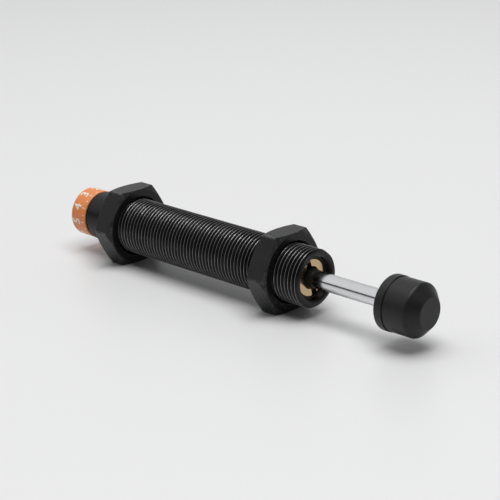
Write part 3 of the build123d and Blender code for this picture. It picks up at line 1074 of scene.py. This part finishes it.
def dress_inner_nodes():
    """Gives the pieces inside the housing and the cap their materials."""
    finishes = {
        "fill_screw_seal": seal_plastic,
        "backup_ring": seal_plastic,
        "rebound_washer": seal_plastic,
        "rod_seal": seal_rubber,
        "bearing_o_ring": seal_rubber,
        "accumulator_foam": foam,
        "rod_bearing": bronze,
        "check_ring": bronze,
        "pressure_tube": steel,
        "tube_base": steel,
        "piston": steel,
        "piston_lock_nut": steel,
        "cap_insert": steel,
        "return_spring": spring_steel,
    }
    for node, material in finishes.items():
        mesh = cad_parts[node].data
        mesh.materials.clear()
        mesh.materials.append(material)


def squeeze_spring():
    """Gives the return spring a mesh of its own."""
    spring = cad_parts["return_spring"]
    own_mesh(spring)


# Floor, light and camera

def build_floor():
    """Large satin sheet under the nuts, with painted light: its colour is a little lighter far
    behind the object.
    """
    finish = Finish("floor_sheet", Specular_IOR_Level=0.45, Roughness=0.36)
    # Painted light: the floor's colour turns lighter with distance away from the camera
    share = finish.span(finish.towards(finish.place, PAINTED_LIGHT_AWAY), *FLOOR_PAINTED_LIGHT_M)
    finish.set(Base_Color=finish.blend(share, (0.735, 0.735, 0.737), (0.84, 0.84, 0.84)))
    low = cad_box[0].z / MM
    steps = FLOOR_STEPS
    width = 2 * FLOOR_REACH / steps
    vertices = [
        Vector((column * width - FLOOR_REACH, row * width - FLOOR_REACH, low)) * MM
        for row in range(steps + 1)
        for column in range(steps + 1)
    ]
    faces = [
        [row * (steps + 1) + column + corner for corner in (0, 1, steps + 2, steps + 1)]
        for row in range(steps)
        for column in range(steps)
    ]
    mesh = bpy.data.meshes.new("floor_sheet")
    mesh.from_pydata(vertices, [], faces)
    mesh.materials.append(finish.material)
    floor = bpy.data.objects.new("floor_sheet", mesh)
    bpy.context.scene.collection.objects.link(floor)


def build_flag():
    """Dark curved card to the left of the object, which the rod mirrors as a dark line."""
    finish = Finish("flag_card", Base_Color=(0.04, 0.04, 0.04), Roughness=0.9)
    steps = FLAG_STEPS
    rows = []
    for height in (FLAG_LOW, FLAG_HIGH):
        row = []
        for step in range(steps + 1):
            turn = radians(FLAG_TURN_DEG + FLAG_HALF_ANGLE_DEG * (2 * step / steps - 1))
            row.append(Vector((FLAG_DISTANCE * cos(turn), FLAG_DISTANCE * sin(turn), height)) * MM)
        rows.append(row)
    faces = [[i, i + 1, i + steps + 2, i + steps + 1] for i in range(steps)]
    mesh = bpy.data.meshes.new("flag_card")
    mesh.from_pydata(rows[0] + rows[1], [], faces)
    mesh.materials.append(finish.material)
    flag = bpy.data.objects.new("flag_card", mesh)
    flag.visible_camera = False
    bpy.context.scene.collection.objects.link(flag)


def light_scene():
    """A soft box overhead, in a grey room with bright areas and a dark side at the camera."""
    world = bpy.data.worlds.new("surround")
    bpy.context.scene.world = world
    world.use_nodes = True
    room = Graph(world.node_tree)
    place = room.add("ShaderNodeTexCoord").outputs["Generated"]
    height = room.towards(place, (0.0, 0.0, 1.0))
    level = room.span(height, *ROOM_HEIGHTS, ROOM_LOW, ROOM_HIGH)
    for direction, edge, inside, strength in (WINDOW, BACK, ROOF, CAMERA_SIDE):
        share = room.span(room.towards(place, direction), edge, inside)
        change = room.math("MULTIPLY", share, room.math("SUBTRACT", strength, level))
        level = room.math("ADD", level, change)
    background = world.node_tree.nodes["Background"]
    background.inputs["Color"].default_value = ROOM_COLOUR
    room.join(level, background.inputs["Strength"])
    lamp = bpy.data.lights.new("soft_box", "AREA")
    lamp.shape = "RECTANGLE"
    lamp.size = LAMP_SIZE_M
    lamp.size_y = LAMP_SIZE_M
    lamp.energy = LAMP_ENERGY
    box = bpy.data.objects.new("soft_box", lamp)
    box.location = LAMP_PLACE_M
    aim = Vector(LAMP_AIM_M) - box.location
    box.rotation_euler = aim.to_track_quat("-Z", "Y").to_euler()
    bpy.context.scene.collection.objects.link(box)
    bpy.context.scene.view_settings.view_transform = "Standard"


def place_camera():
    """Camera at the photograph's viewing angle, with its slight roll."""
    azimuth = radians(CAMERA_AZIMUTH_DEG)
    elevation = radians(CAMERA_ELEVATION_DEG)
    roll = radians(CAMERA_ROLL_DEG)
    back = Vector((sin(azimuth) * cos(elevation), -cos(azimuth) * cos(elevation), sin(elevation)))
    level = Vector((0, 0, 1)).cross(back).normalized()
    upright = back.cross(level)
    across = level * cos(roll) + upright * sin(roll)
    up = upright * cos(roll) - level * sin(roll)
    data = bpy.data.cameras.new("photo_camera")
    data.lens = CAMERA_LENS
    data.sensor_width = CAMERA_SENSOR
    data.clip_end = CAMERA_REACH_M
    camera = bpy.data.objects.new("photo_camera", data)
    place = (Vector(CAMERA_TARGET) + back * CAMERA_DISTANCE) * MM
    turn = Matrix((across, up, back)).transposed().to_4x4()
    camera.matrix_world = Matrix.Translation(place) @ turn
    bpy.context.scene.collection.objects.link(camera)
    bpy.context.scene.camera = camera


place_camera()
build_housing()
build_band()
build_scale()
build_nut("front_nut")
build_nut("rear_nut")
build_retainer()
build_wiper()
build_rod()
build_cap()
build_screw()
dress_inner_nodes()
squeeze_spring()
build_floor()
build_flag()
light_scene()
